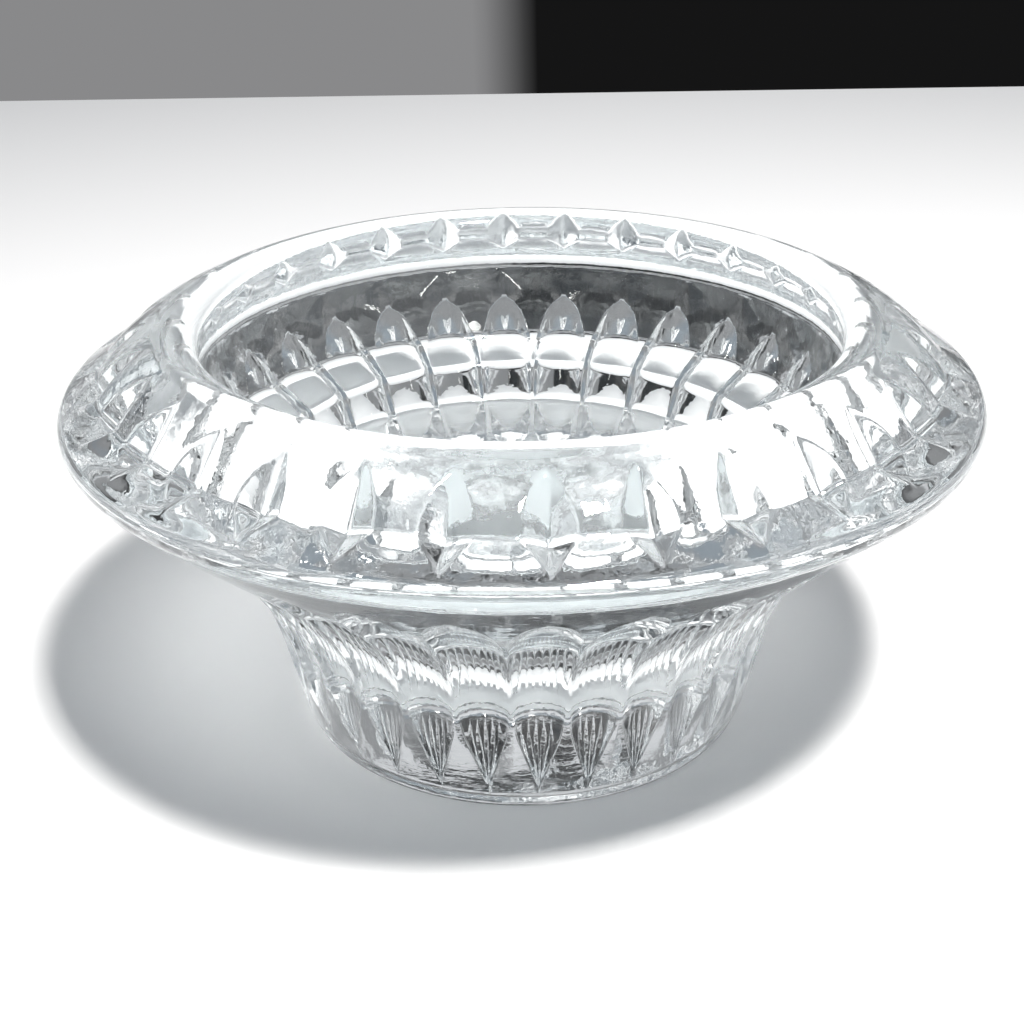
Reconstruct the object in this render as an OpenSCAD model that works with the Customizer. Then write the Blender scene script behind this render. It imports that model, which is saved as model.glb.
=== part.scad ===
// Dappen dish of pressed clear glass: a shallow stepped bowl on a thick solid base, with a wide
// sloping brim. The whole dish is one piece of glass. Its axis is +Z and it stands on z = 0.

/* [Overall] */

// Diameter across the brim
outer_d = 90; // [86:0.5:94]
// Height from the foot to the crest of the lip
height = 43; // [41.5:0.25:45]
// Diameter of the foot the dish stands on
foot_d = 47; // [45:0.5:49]
// Diameter of the mouth between the inner sides of the lip
mouth_d = 62.5; // [61:0.25:64]

/* [Lip and brim] */

// Radius of the rounded lip in section
lip_r = 2.5; // [2.2:0.1:2.8]
// Thickness of the brim at its rounded edge
edge_t = 3.3; // [3:0.1:3.8]
// How far the middle of the brim's edge lies below the crest
brim_drop = 8.1; // [7.6:0.1:8.6]
// How much the brim's upper slope bulges between the lip and its shoulder
slope_bulge = 0.5; // [0.2:0.1:0.8]

/* [Bowl] */

// Thickness of the solid glass under the bowl
floor_t = 22; // [20:0.5:23]
// How much the lip overhangs the bowl's wall
overhang = 0.5; // [0.2:0.1:0.7]
// Width of the sloping ledge between the bowl's wall and its floor well
ledge_w = 5; // [4:0.25:6]
// How far the ledge falls across its width
ledge_fall = 1.6; // [1.4:0.1:2.4]
// Radius of the rounded corners inside the bowl
corner_r = 1.2; // [0.8:0.1:1.5]

/* [Cuts] */

// Number of cuts round the dish, the same above and below the brim
cut_count = 32; // [28:1:34]
// Depth of the leaf-shaped cuts in the brim
leaf_depth = 1.3; // [0.8:0.1:1.6]
// Depth of the flutes in the body beyond the hollow of the body itself
flute_depth = 1.1; // [0.8:0.05:1.3]
// Radius of the flutes in section
flute_r = 4.3; // [4:0.1:4.8]

/* [Hidden] */

$fn = 96;

outer_r = outer_d / 2;
foot_r = foot_d / 2;
edge_r = edge_t / 2;
lip_x = mouth_d / 2 + lip_r;
lip_z = height - lip_r;
edge_x = outer_r - edge_r;
edge_z = height - brim_drop;
edge_sweep = 50;

// the foot: a plain disc with a small bevel under it
foot_h = 1.5;
foot_bevel = 0.5;

// the body: a steep wall, then a hollow knee, then a flare up to the brim
wall_base = [foot_r + 0.5, foot_h + 0.1];
wall_lean = 12.5;
knee_z = height * 0.233;
knee_x = wall_base.x + (knee_z - wall_base.y) * tan(wall_lean);
knee_r = 27;
flare_lean = 46.5;
knee_mid = [knee_x + knee_r * cos(wall_lean), knee_z - knee_r * sin(wall_lean)];

// the brim's upper slope falls from the lip to a shoulder, then more steeply to the edge
lip_turn = 36;
slope_top = [lip_x + lip_r * sin(lip_turn), lip_z + lip_r * cos(lip_turn)];
shoulder = [outer_r - 4, edge_z + 3.5];

// the bowl: an upright wall under the lip, a ledge, then a well with a flat floor
wall_top = [mouth_d / 2 + overhang + 0.05, height - 5.2];
ledge_out = [mouth_d / 2 + overhang - 0.35, height - 14.9];
ledge_in = ledge_out - [ledge_w, ledge_fall];
well_lean = 0.4;
well_foot = [ledge_in.x - well_lean, floor_t];
floor_dip = 0.15;

// a leaf cut: its two pointed ends and its deepest point under the shoulder
leaf_top = [lip_x + 3.1, lip_z + 1.15];
leaf_foot = [outer_r - 1.55, edge_z + 1.85];
leaf_inward = [-0.55, -0.83];
leaf_deep = shoulder + leaf_depth * leaf_inward;
leaf_half_angle = 62;
leaf_reach = 8;
leaf_size = 4;

// a flute: a bent round bar's path, from a point over the foot out to its arch under the brim
flute_low = [foot_r + 0.8, foot_h + 1.45];
flute_high = [outer_r - 3.6, edge_z - 4.2];
flute_chord = flute_high - flute_low;
body_sag = 3.5;
flute_sag = body_sag + flute_depth;
bend_r = flute_chord * flute_chord / (8 * flute_sag) + flute_sag / 2;
bend_side = [flute_chord.y, -flute_chord.x] / norm(flute_chord);
bend_mid = (flute_low + flute_high) / 2 + bend_side * (bend_r - flute_sag);
bend_sweep = 96;

function arc(mid, r, from, to, n) =
    [for (i = [0 : n]) let (a = from + (to - from) * i / n) mid + r * [cos(a), sin(a)]];

// a chord's points pushed out sideways into a shallow arc
function bowed(a, b, rise, n) =
    let (d = b - a, side = [-d.y, d.x] / norm(d))
    [for (i = [0 : n]) let (t = i / n) a + d * t + side * rise * 4 * t * (1 - t)];

// the corner at b between a and c, rounded to radius r
function rounded(a, b, c, r, n) =
    let (u = (a - b) / norm(a - b), v = (c - b) / norm(c - b), half = acos(u * v) / 2,
        mid = b + (u + v) / norm(u + v) * r / sin(half),
        p = b + u * r / tan(half) - mid, q = b + v * r / tan(half) - mid)
    [for (i = [0 : n]) let (w = p + (q - p) * i / n) mid + w * r / norm(w)];

module profile() {
    polygon(concat(
        [[0, 0], [foot_r - foot_bevel, 0], [foot_r, foot_bevel], [foot_r, foot_h]],
        [wall_base],
        arc(knee_mid, knee_r, 180 - wall_lean, 180 - flare_lean, 6),
        arc([edge_x, edge_z], edge_r, -edge_sweep, edge_sweep, 6),
        bowed(shoulder, slope_top, -slope_bulge, 4),
        arc([lip_x, lip_z], lip_r, 2 * lip_turn, 180, 6),
        [wall_top],
        rounded(wall_top, ledge_out, ledge_in, corner_r, 4),
        rounded(ledge_out, ledge_in, well_foot, corner_r, 4),
        rounded(ledge_in, well_foot, [0, floor_t], corner_r, 4),
        [[0, floor_t - floor_dip]]
    ));
}

// a straight V-shaped groove in the plane y = 0, its bottom running from a to b
module v_groove(a, b) {
    d = b - a;
    half_w = leaf_size * tan(leaf_half_angle);
    translate([a.x, 0, a.y])
        rotate([0, -atan2(d.y, d.x), 0])
            translate([-leaf_reach, 0, 0])
                rotate([90, 0, 90])
                    linear_extrude(height = norm(d) + 2 * leaf_reach)
                        polygon([[0, 0], [half_w, leaf_size], [-half_w, leaf_size]]);
}

// one leaf: a pointed pit of four flat faces over the shoulder of the brim
module leaf() {
    intersection() {
        v_groove(leaf_top, leaf_deep);
        v_groove(leaf_deep, leaf_foot);
    }
}

// one flute: part of a bent round bar that follows the body, arched at the top
module flute() {
    translate([bend_mid.x, 0, bend_mid.y])
        rotate([90, 0, 0])
            rotate([0, 0, bend_sweep])
                rotate_extrude(angle = bend_sweep)
                    translate([bend_r - flute_r, 0])
                        circle(r = flute_r);
}

module dish() {
    color([0.86, 0.93, 0.95, 0.45])
        difference() {
            rotate_extrude() profile();
            for (i = [0 : cut_count - 1])
                rotate([0, 0, 360 * i / cut_count - 90]) {
                    leaf();
                    flute();
                }
        }
}

dish();
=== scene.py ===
import math

import bmesh
import bpy
from mathutils import Matrix, Vector


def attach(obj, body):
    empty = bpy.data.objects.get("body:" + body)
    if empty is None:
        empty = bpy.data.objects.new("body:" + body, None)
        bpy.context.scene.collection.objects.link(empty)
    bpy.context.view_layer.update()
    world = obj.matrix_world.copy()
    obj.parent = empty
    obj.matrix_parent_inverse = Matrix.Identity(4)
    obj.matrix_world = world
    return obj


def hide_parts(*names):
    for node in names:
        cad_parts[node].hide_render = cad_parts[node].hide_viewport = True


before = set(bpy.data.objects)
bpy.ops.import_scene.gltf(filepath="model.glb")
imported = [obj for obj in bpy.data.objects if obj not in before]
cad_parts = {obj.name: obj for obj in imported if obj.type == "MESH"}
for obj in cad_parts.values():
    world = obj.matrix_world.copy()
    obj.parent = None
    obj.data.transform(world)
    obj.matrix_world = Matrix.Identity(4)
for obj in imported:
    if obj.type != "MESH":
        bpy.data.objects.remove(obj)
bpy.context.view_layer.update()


# The dish: one piece of clear pressed glass, dropped as a gob into an iron mould and pressed with a
# plunger. The mould gives it the round foot, the fluted body, the sloping brim with its leaf cuts and
# the rounded lip; the plunger gives it the upright wall, the ledge and the shallow well.
MM = 0.001
CUTS = 32
HALF_STEPS = 10
HALF_SPACING = math.pi / CUTS

outer_r = 44.98
height = 42.99
foot_r = 23.5
foot_h = 1.5
lip_r = 2.5
lip_x, lip_z = 33.75, height - lip_r
edge_r = 1.65
edge_x, edge_z = outer_r - edge_r, height - 8.1

wall_base = Vector((foot_r + 0.5, foot_h + 0.1))
wall_lean = math.radians(12.5)
flare_lean = math.radians(46.5)
knee_z = height * 0.233
knee_x = wall_base.x + (knee_z - wall_base.y) * math.tan(wall_lean)
knee_r = 27.0
knee_mid = Vector((knee_x + knee_r * math.cos(wall_lean), knee_z - knee_r * math.sin(wall_lean)))

lip_turn = math.radians(36)
slope_top = Vector((lip_x + lip_r * math.sin(lip_turn), lip_z + lip_r * math.cos(lip_turn)))
shoulder = Vector((outer_r - 4.0, edge_z + 3.5))

wall_top = Vector((31.8, 37.8))
ledge_out = Vector((31.4, 28.1))
ledge_in = Vector((26.4, 26.5))
well_foot = Vector((26.0, 22.0))
well_mid = Vector((0.0, 21.85))
corner_r = 1.2


def arc(mid, r, start, end, n):
    steps = [start + (end - start) * i / n for i in range(n + 1)]
    return [Vector((mid[0] + r * math.cos(a), mid[1] + r * math.sin(a))) for a in steps]


def straight(a, b, n):
    return [a.lerp(b, i / n) for i in range(n + 1)]


def bowed(a, b, rise, n):
    side = Vector((a.y - b.y, b.x - a.x)).normalized()
    return [p + side * rise * 4 * (i / n) * (1 - i / n) for i, p in enumerate(straight(a, b, n))]


def rounded(a, b, c, r, n):
    u, v = (a - b).normalized(), (c - b).normalized()
    half = u.angle(v) / 2
    mid = b + (u + v).normalized() * r / math.sin(half)
    p, q = b + u * r / math.tan(half) - mid, b + v * r / math.tan(half) - mid
    return [mid + p.lerp(q, i / n).normalized() * r for i in range(n + 1)]


# The half section, walked from the middle of the underside out, up over the lip and down the bowl.
profile = []


def walk(points, part):
    for p in points:
        if not profile or (p - profile[-1][0]).length > 0.02:
            profile.append((p, part))


walk([Vector((r, 0.0)) for r in (0, 8, 16, 21)], "foot")
walk(arc((foot_r - 0.5, 0.5), 0.5, -math.pi / 2, 0, 4), "foot")
walk([Vector((foot_r, foot_h - 0.3)), Vector((foot_r + 0.08, foot_h - 0.05))], "foot")
walk([wall_base - Vector((0.12, 0.02))], "foot")
walk(straight(wall_base + Vector((0, 0.06)), Vector((knee_x, knee_z)), 14), "body")
walk(arc(knee_mid, knee_r, math.pi - wall_lean, math.pi - flare_lean, 20), "body")
edge_low = arc((edge_x, edge_z), edge_r, math.radians(-50), math.radians(50), 9)
walk(straight(profile[-1][0], edge_low[0], 20), "body")
walk(edge_low, "edge")
walk(straight(edge_low[-1], shoulder, 10), "brim")
walk(bowed(shoulder, slope_top, -0.5, 18), "brim")
walk(arc((lip_x, lip_z), lip_r, math.pi / 2 - lip_turn, math.pi, 11), "lip")
walk(straight(wall_top, ledge_out + Vector((0, 1.2)), 6), "bowl")
walk(rounded(wall_top, ledge_out, ledge_in, corner_r, 6), "bowl")
walk(rounded(ledge_out, ledge_in, well_foot, corner_r, 6), "bowl")
walk(rounded(ledge_in, well_foot, well_mid, corner_r, 6), "bowl")
walk(straight(profile[-1][0], well_mid, 6), "bowl")

points = [p for p, part in profile]
ends = [points[0] - Vector((1, 0))] + points + [points[-1] - Vector((1, 0))]
normals = [(ends[i + 2] - ends[i]).normalized() for i in range(len(points))]
normals = [Vector((t.y, -t.x)) for t in normals]

# A flute is hollow-ground: pointed at the foot, straight up the wall, then bent out to a round arch.
flute_point = Vector((foot_r + 0.8, foot_h + 1.45))
flute_lean = wall_lean - math.radians(5)
flute_run = 6.7
flute_r = 4.3
flute_tip_r = 0.08
flute_bend = flute_point + flute_run * Vector((math.sin(flute_lean), math.cos(flute_lean)))
flute_out = Vector((math.cos(flute_lean), -math.sin(flute_lean)))
flute_arch = Vector((outer_r - 3.6, edge_z - 4.2))
flute_span = flute_arch - flute_bend
bend_r = flute_span.length_squared / (2 * flute_span.dot(flute_out))
bend_mid = flute_bend + bend_r * flute_out

# A leaf is two V cuts that meet under the shoulder, so it has four flat faces and two points.
leaf_top = Vector((lip_x + 3.1, lip_z + 1.15))
leaf_foot = Vector((outer_r - 1.55, edge_z + 1.85))
leaf_deep = shoulder + 1.3 * Vector((-0.55, -0.83))
leaf_flank = math.tan(math.radians(62))


def depth_to_line(p, n, a, b):
    side = Vector((a.y - b.y, b.x - a.x))
    return -(a - p).dot(side) / n.dot(side)


def depth_to_bend(p, n):
    q = p - bend_mid
    along = -q.dot(n)
    inside = along * along - q.length_squared + bend_r * bend_r
    if q.length > bend_r:
        return bend_r - q.length
    return -along + math.sqrt(max(inside, 0))


def hollow(x, r):
    return r - math.sqrt(r * r - x * x) if x < 0.8 * r else 0.4 * r + (x - 0.8 * r) * 4 / 3


def soft(d, edge):
    return 0.5 * (d + math.sqrt(d * d + edge * edge))


def round_fall(row, x):
    return x * x / (2 * row["r"]) * row["n"].x


# The fire-polish rolls every crease of a leaf over a tenth of a millimetre or so.
crease_roll = 0.12
valley_roll = 0.06


def leaf_depth(row, x):
    fall = math.hypot(x, crease_roll) / leaf_flank + round_fall(row, x)
    upper, lower = row["upper"] - fall, row["lower"] - fall
    return 0.5 * (upper + lower - math.hypot(upper - lower, valley_roll))


def flute_depth(row, x, across):
    return row["bottom"] - hollow(across, row["hollow_r"]) - round_fall(row, x)


rows = []
for (p, part), n in zip(profile, normals):
    leaf = part == "brim" or (part == "lip" and p.x > lip_x + 1 and p.y > lip_z)
    kind = "leaf" if leaf else "flute" if part == "body" else "plain"
    row = {"kind": kind, "r": p.x, "n": n}
    if kind == "leaf":
        row["upper"] = depth_to_line(p, n, leaf_top, leaf_deep)
        row["lower"] = depth_to_line(p, n, leaf_deep, leaf_foot)
    if kind == "flute":
        straight_part = p.y <= flute_bend.y
        row["bottom"] = depth_to_line(p, n, flute_point, flute_bend) if straight_part else depth_to_bend(p, n)
        rise = (p - flute_point).length if p.y > flute_point.y else 0
        row["hollow_r"] = min(flute_r, max(flute_tip_r, rise * flute_r / flute_run))
    rows.append(row)


def depth(row, x):
    return leaf_depth(row, x) if row["kind"] == "leaf" else flute_depth(row, x, x)


def half_width(row):
    low, high = 0.0, HALF_SPACING * row["r"]
    if depth(row, high) > 0:
        return high
    if depth(row, low) <= 0:
        return 0.0
    for i in range(30):
        middle = (low + high) / 2
        low, high = (middle, high) if depth(row, middle) > 0 else (low, middle)
    return low


def blend_steps(k, stops):
    for (k0, x0), (k1, x1) in zip(stops, stops[1:]):
        if k <= k1:
            return x0 + (x1 - x0) * (k - k0) / (k1 - k0)


# Each column of the spun skin is moved sideways to follow the cuts' outlines, then pushed in.
rim_roll = 0.14
flute_rim_roll = 0.05
ridge_roll = 0.12


def cut(row, k):
    half = HALF_SPACING * row["r"]
    if row["kind"] == "plain":
        return half * k / HALF_STEPS, 0.0
    w = half_width(row)
    if row["kind"] == "leaf":
        w = min(max(w, 0.6), half - 0.4)
        x = blend_steps(k, [(0, 0), (1, 0.12), (2, 0.3), (5, w - 0.25), (6, w), (7, w + 0.25), (10, half)])
        return x, soft(leaf_depth(row, x), rim_roll)
    w = max(w, 0.4)
    if w < half - 0.2:
        inner = min(w - 0.12, half - 0.3)
        x = blend_steps(k, [(0, 0), (7, inner), (9, min(w + 0.12, half - 0.12)), (10, half)])
    else:
        x = blend_steps(k, [(0, 0), (8, min(w - 0.12, half - 0.3)), (9, half - 0.12), (10, half)])
    ridge = half - (math.hypot(half - x, ridge_roll) - 0.05) if x > half / 2 else x
    return x, soft(flute_depth(row, x, max(ridge, 0)), flute_rim_roll)


skin = bmesh.new()
row_of = skin.verts.layers.int.new("row")
geom = []
last = None
for i, p in enumerate(points):
    v = skin.verts.new((p.x, 0, p.y))
    v[row_of] = i
    geom.append(v)
    if last:
        geom.append(skin.edges.new((last, v)))
    last = v
steps = CUTS * 2 * HALF_STEPS
bmesh.ops.spin(skin, geom=geom, axis=(0, 0, 1), cent=(0, 0, 0), angle=2 * math.pi,
               steps=steps, use_merge=True, use_duplicate=False)
placed = {}
for v in skin.verts:
    r = math.hypot(v.co.x, v.co.y)
    if r < 1e-6:
        continue
    column = round((math.atan2(v.co.y, v.co.x) + math.pi / 2) / (2 * math.pi) * steps)
    sector = math.floor((column + HALF_STEPS) / (2 * HALF_STEPS))
    k = column - sector * 2 * HALF_STEPS
    key = (v[row_of], abs(k))
    if key not in placed:
        row = rows[v[row_of]]
        x, d = cut(row, abs(k))
        p = points[v[row_of]] - d * row["n"]
        placed[key] = (x / row["r"], p.x, p.y)
    turn, r, z = placed[key]
    a = sector * 2 * math.pi / CUTS + math.copysign(turn, k) - math.pi / 2
    v.co = (r * math.cos(a), r * math.sin(a), z)
bmesh.ops.remove_doubles(skin, verts=skin.verts, dist=1e-4)
bmesh.ops.recalc_face_normals(skin, faces=skin.faces)
bmesh.ops.scale(skin, vec=(MM, MM, MM), verts=skin.verts)
for f in skin.faces:
    f.smooth = True
dish_mesh = bpy.data.meshes.new("pressed_dish")
skin.to_mesh(dish_mesh)
skin.free()
pressed_dish = bpy.data.objects.new("pressed_dish", dish_mesh)
bpy.context.collection.objects.link(pressed_dish)


def linear(hex_colour):
    channels = [int(hex_colour[i:i + 2], 16) / 255 for i in (1, 3, 5)]
    return (*[c / 12.92 if c <= 0.04045 else ((c + 0.055) / 1.055) ** 2.4 for c in channels], 1)


def add_node(tree, kind, settings=None, links=None):
    made = tree.nodes.new(kind)
    for name, value in (settings or {}).items():
        if isinstance(name, str) and hasattr(made, name):
            setattr(made, name, value)
        else:
            made.inputs[name].default_value = value
    for name, socket in (links or {}).items():
        tree.links.new(socket, made.inputs[name])
    return made


# Colourless soda-lime glass, fire-polished after pressing: clear to the eye, with a faint cold tint
# where it is thick, a slight waviness a few millimetres across, and finer upright drag lines where the
# glass was drawn along the mould.
glass = bpy.data.materials.new("fire_polished_soda_lime_glass")
glass.use_nodes = True
tree = glass.node_tree
surface = tree.nodes["Principled BSDF"]
surface.inputs["Base Color"].default_value = linear("#F8FCFD")
surface.inputs["Roughness"].default_value = 0.0
surface.inputs["IOR"].default_value = 1.52
surface.inputs["Transmission Weight"].default_value = 1.0
place = add_node(tree, "ShaderNodeTexCoord")
mould_wave = add_node(tree, "ShaderNodeTexNoise", {"Scale": 1 / (2.4 * MM), "Detail": 3.0},
                      {"Vector": place.outputs["Object"]})
upright_pull = add_node(tree, "ShaderNodeMapping", {}, {"Vector": place.outputs["Object"]})
upright_pull.inputs["Scale"].default_value = (1, 1, 0.22)
drag_lines = add_node(tree, "ShaderNodeTexNoise", {"Scale": 1 / (0.9 * MM), "Detail": 2.0},
                      {"Vector": upright_pull.outputs["Vector"]})
drag_share = 0.3
height_sum = add_node(tree, "ShaderNodeMath", {"operation": "MULTIPLY_ADD"},
                      {0: drag_lines.outputs["Fac"], 2: mould_wave.outputs["Fac"]})
height_sum.inputs[1].default_value = drag_share
wave_bump = add_node(tree, "ShaderNodeBump", {"Strength": 0.6, "Distance": 0.06 * MM},
                     {"Height": height_sum.outputs[0]})
tree.links.new(wave_bump.outputs["Normal"], surface.inputs["Normal"])
dish_mesh.materials.append(glass)

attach(pressed_dish, "root")
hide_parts("dish")


# The tabletop: a plain white laminate board, matt, that ends a hand's width and a half behind the dish.
view_turn = math.radians(-2.9)
board = bmesh.new()
bmesh.ops.create_grid(board, x_segments=1, y_segments=1, size=1.5)
bmesh.ops.translate(board, vec=(0, 0.305 - 1.5, -0.02 * MM), verts=board.verts)
bmesh.ops.rotate(board, cent=(0, 0, 0), matrix=Matrix.Rotation(view_turn, 3, "Z"), verts=board.verts)
board_mesh = bpy.data.meshes.new("tabletop")
board.to_mesh(board_mesh)
board.free()
tabletop = bpy.data.objects.new("tabletop", board_mesh)
bpy.context.collection.objects.link(tabletop)
laminate = bpy.data.materials.new("white_matt_laminate")
laminate.use_nodes = True
board_surface = laminate.node_tree.nodes["Principled BSDF"]
board_surface.inputs["Base Color"].default_value = linear("#EEEFF1")
board_surface.inputs["Roughness"].default_value = 0.6
board_mesh.materials.append(laminate)


# The studio round it: a soft ceiling and front, and behind the board a dim wall, light on the left and
# dark on the right, with two pale strips. Over its middle are a bright band and then a dark one. Clear
# glass shows its shape only by what it bends, so the dark parts draw it.
studio = bpy.data.worlds.new("studio")
bpy.context.scene.world = studio
studio.use_nodes = True
tree = studio.node_tree
place = add_node(tree, "ShaderNodeTexCoord")
axes = add_node(tree, "ShaderNodeSeparateXYZ", links={"Vector": place.outputs["Generated"]})


def unit(axis):
    half = add_node(tree, "ShaderNodeMath", {"operation": "MULTIPLY_ADD", 1: 0.5, 2: 0.5},
                    {0: axes.outputs[axis]})
    return half.outputs[0]


def shades(source, stops, tint=(1, 1, 1.02)):
    ramp = add_node(tree, "ShaderNodeValToRGB", links={"Fac": source})
    band = ramp.color_ramp.elements
    band[0].position, band[1].position = stops[0][0], stops[-1][0]
    for spot, (at, grey) in zip([band[0]] + [band.new(at) for at, grey in stops[1:-1]] + [band[-1]], stops):
        spot.color = (*[grey * t for t in tint], 1)
    return ramp.outputs["Color"]


def at_height(degrees):
    return 0.5 + 0.5 * math.sin(math.radians(degrees))


strip = 1.3


def wall_shades(low, panel, high, above):
    return shades(unit("Z"), [
        (0, low), (at_height(-0.4), low), (at_height(0.4), strip), (at_height(1.6), strip),
        (at_height(2.4), panel), (at_height(6.6), panel), (at_height(7.4), strip),
        (at_height(8.6), strip), (at_height(9.4), high), (at_height(18), high)]
        + [(at_height(degrees), grey) for degrees, grey in above] + [(1, 0.55)])


def mix(factor, a, b):
    mixed = add_node(tree, "ShaderNodeMix", {"data_type": "RGBA"})
    for socket, source in ((0, factor), (6, a), (7, b)):
        tree.links.new(source, mixed.inputs[socket])
    return mixed.outputs[2]


left_to_right = shades(unit("X"), [(0.513, 0), (0.53, 1)])
screen_width = shades(unit("X"), [(0.28, 0), (0.36, 1), (0.62, 1), (0.70, 0)])
front_to_back = shades(unit("Y"), [(0.42, 0), (0.58, 1)])
# What is over the wall, in degrees above level and shade.
open_above = [(23, 0.55)]
screen_above = [(20, 1.3), (33, 1.3), (35, 0.03), (46, 0.03), (50, 0.6)]
low_wall = mix(left_to_right, wall_shades(0.5, 0.6, 0.2, open_above),
               wall_shades(0.015, 0.45, 0.05, open_above))
tall_screen = mix(left_to_right, wall_shades(0.5, 0.6, 0.2, screen_above),
                  wall_shades(0.015, 0.45, 0.05, screen_above))
back_wall = mix(screen_width, low_wall, tall_screen)
cool = (0.88, 1, 1.12)
front_room = shades(unit("Z"), [(0, 0.1), (0.5, 0.15), (0.6, 0.2), (0.7, 0.55), (1, 0.6)], cool)
background = tree.nodes["Background"]
tree.links.new(mix(front_to_back, front_room, back_wall), background.inputs["Color"])
background.inputs["Strength"].default_value = 0.5

# One small soft lamp, high in front and to the right, throws the round shadow.
lamp_data = bpy.data.lights.new("key_lamp", "AREA")
lamp_data.energy = 4.1
lamp_data.color = (1, 0.97, 0.93)
lamp_data.size = 0.06
key_lamp = bpy.data.objects.new("key_lamp", lamp_data)
bpy.context.collection.objects.link(key_lamp)
key_lamp.location = (0.076, -0.177, 0.42)
to_dish = Vector((0, 0, 0.02)) - key_lamp.location
key_lamp.rotation_euler = to_dish.to_track_quat("-Z", "Y").to_euler()


# The camera: a phone held a hand's length in front, looking down over the brim into the bowl.
camera_data = bpy.data.cameras.new("camera")
camera_data.lens = 55.55
camera_data.sensor_width = 36
camera_data.clip_start = 0.01
camera = bpy.data.objects.new("camera", camera_data)
bpy.context.collection.objects.link(camera)
pitch, yaw, roll = math.radians(26.527), math.radians(-0.416), math.radians(-0.909)
look = Vector((math.sin(yaw) * math.cos(pitch), math.cos(yaw) * math.cos(pitch), -math.sin(pitch)))
level = Vector((math.cos(yaw), -math.sin(yaw), 0))
upright = level.cross(look)
right = math.cos(roll) * level + math.sin(roll) * upright
top = math.cos(roll) * upright - math.sin(roll) * level
aim = Matrix((right, top, -look)).transposed().to_4x4()
aim.translation = Vector((0, -147.18, 93.65)) * MM
camera.matrix_world = Matrix.Rotation(view_turn, 4, "Z") @ aim
scene = bpy.context.scene
scene.camera = camera
scene.view_settings.view_transform = "Standard"
scene.cycles.max_bounces = 24
scene.cycles.transmission_bounces = 24
scene.cycles.glossy_bounces = 12
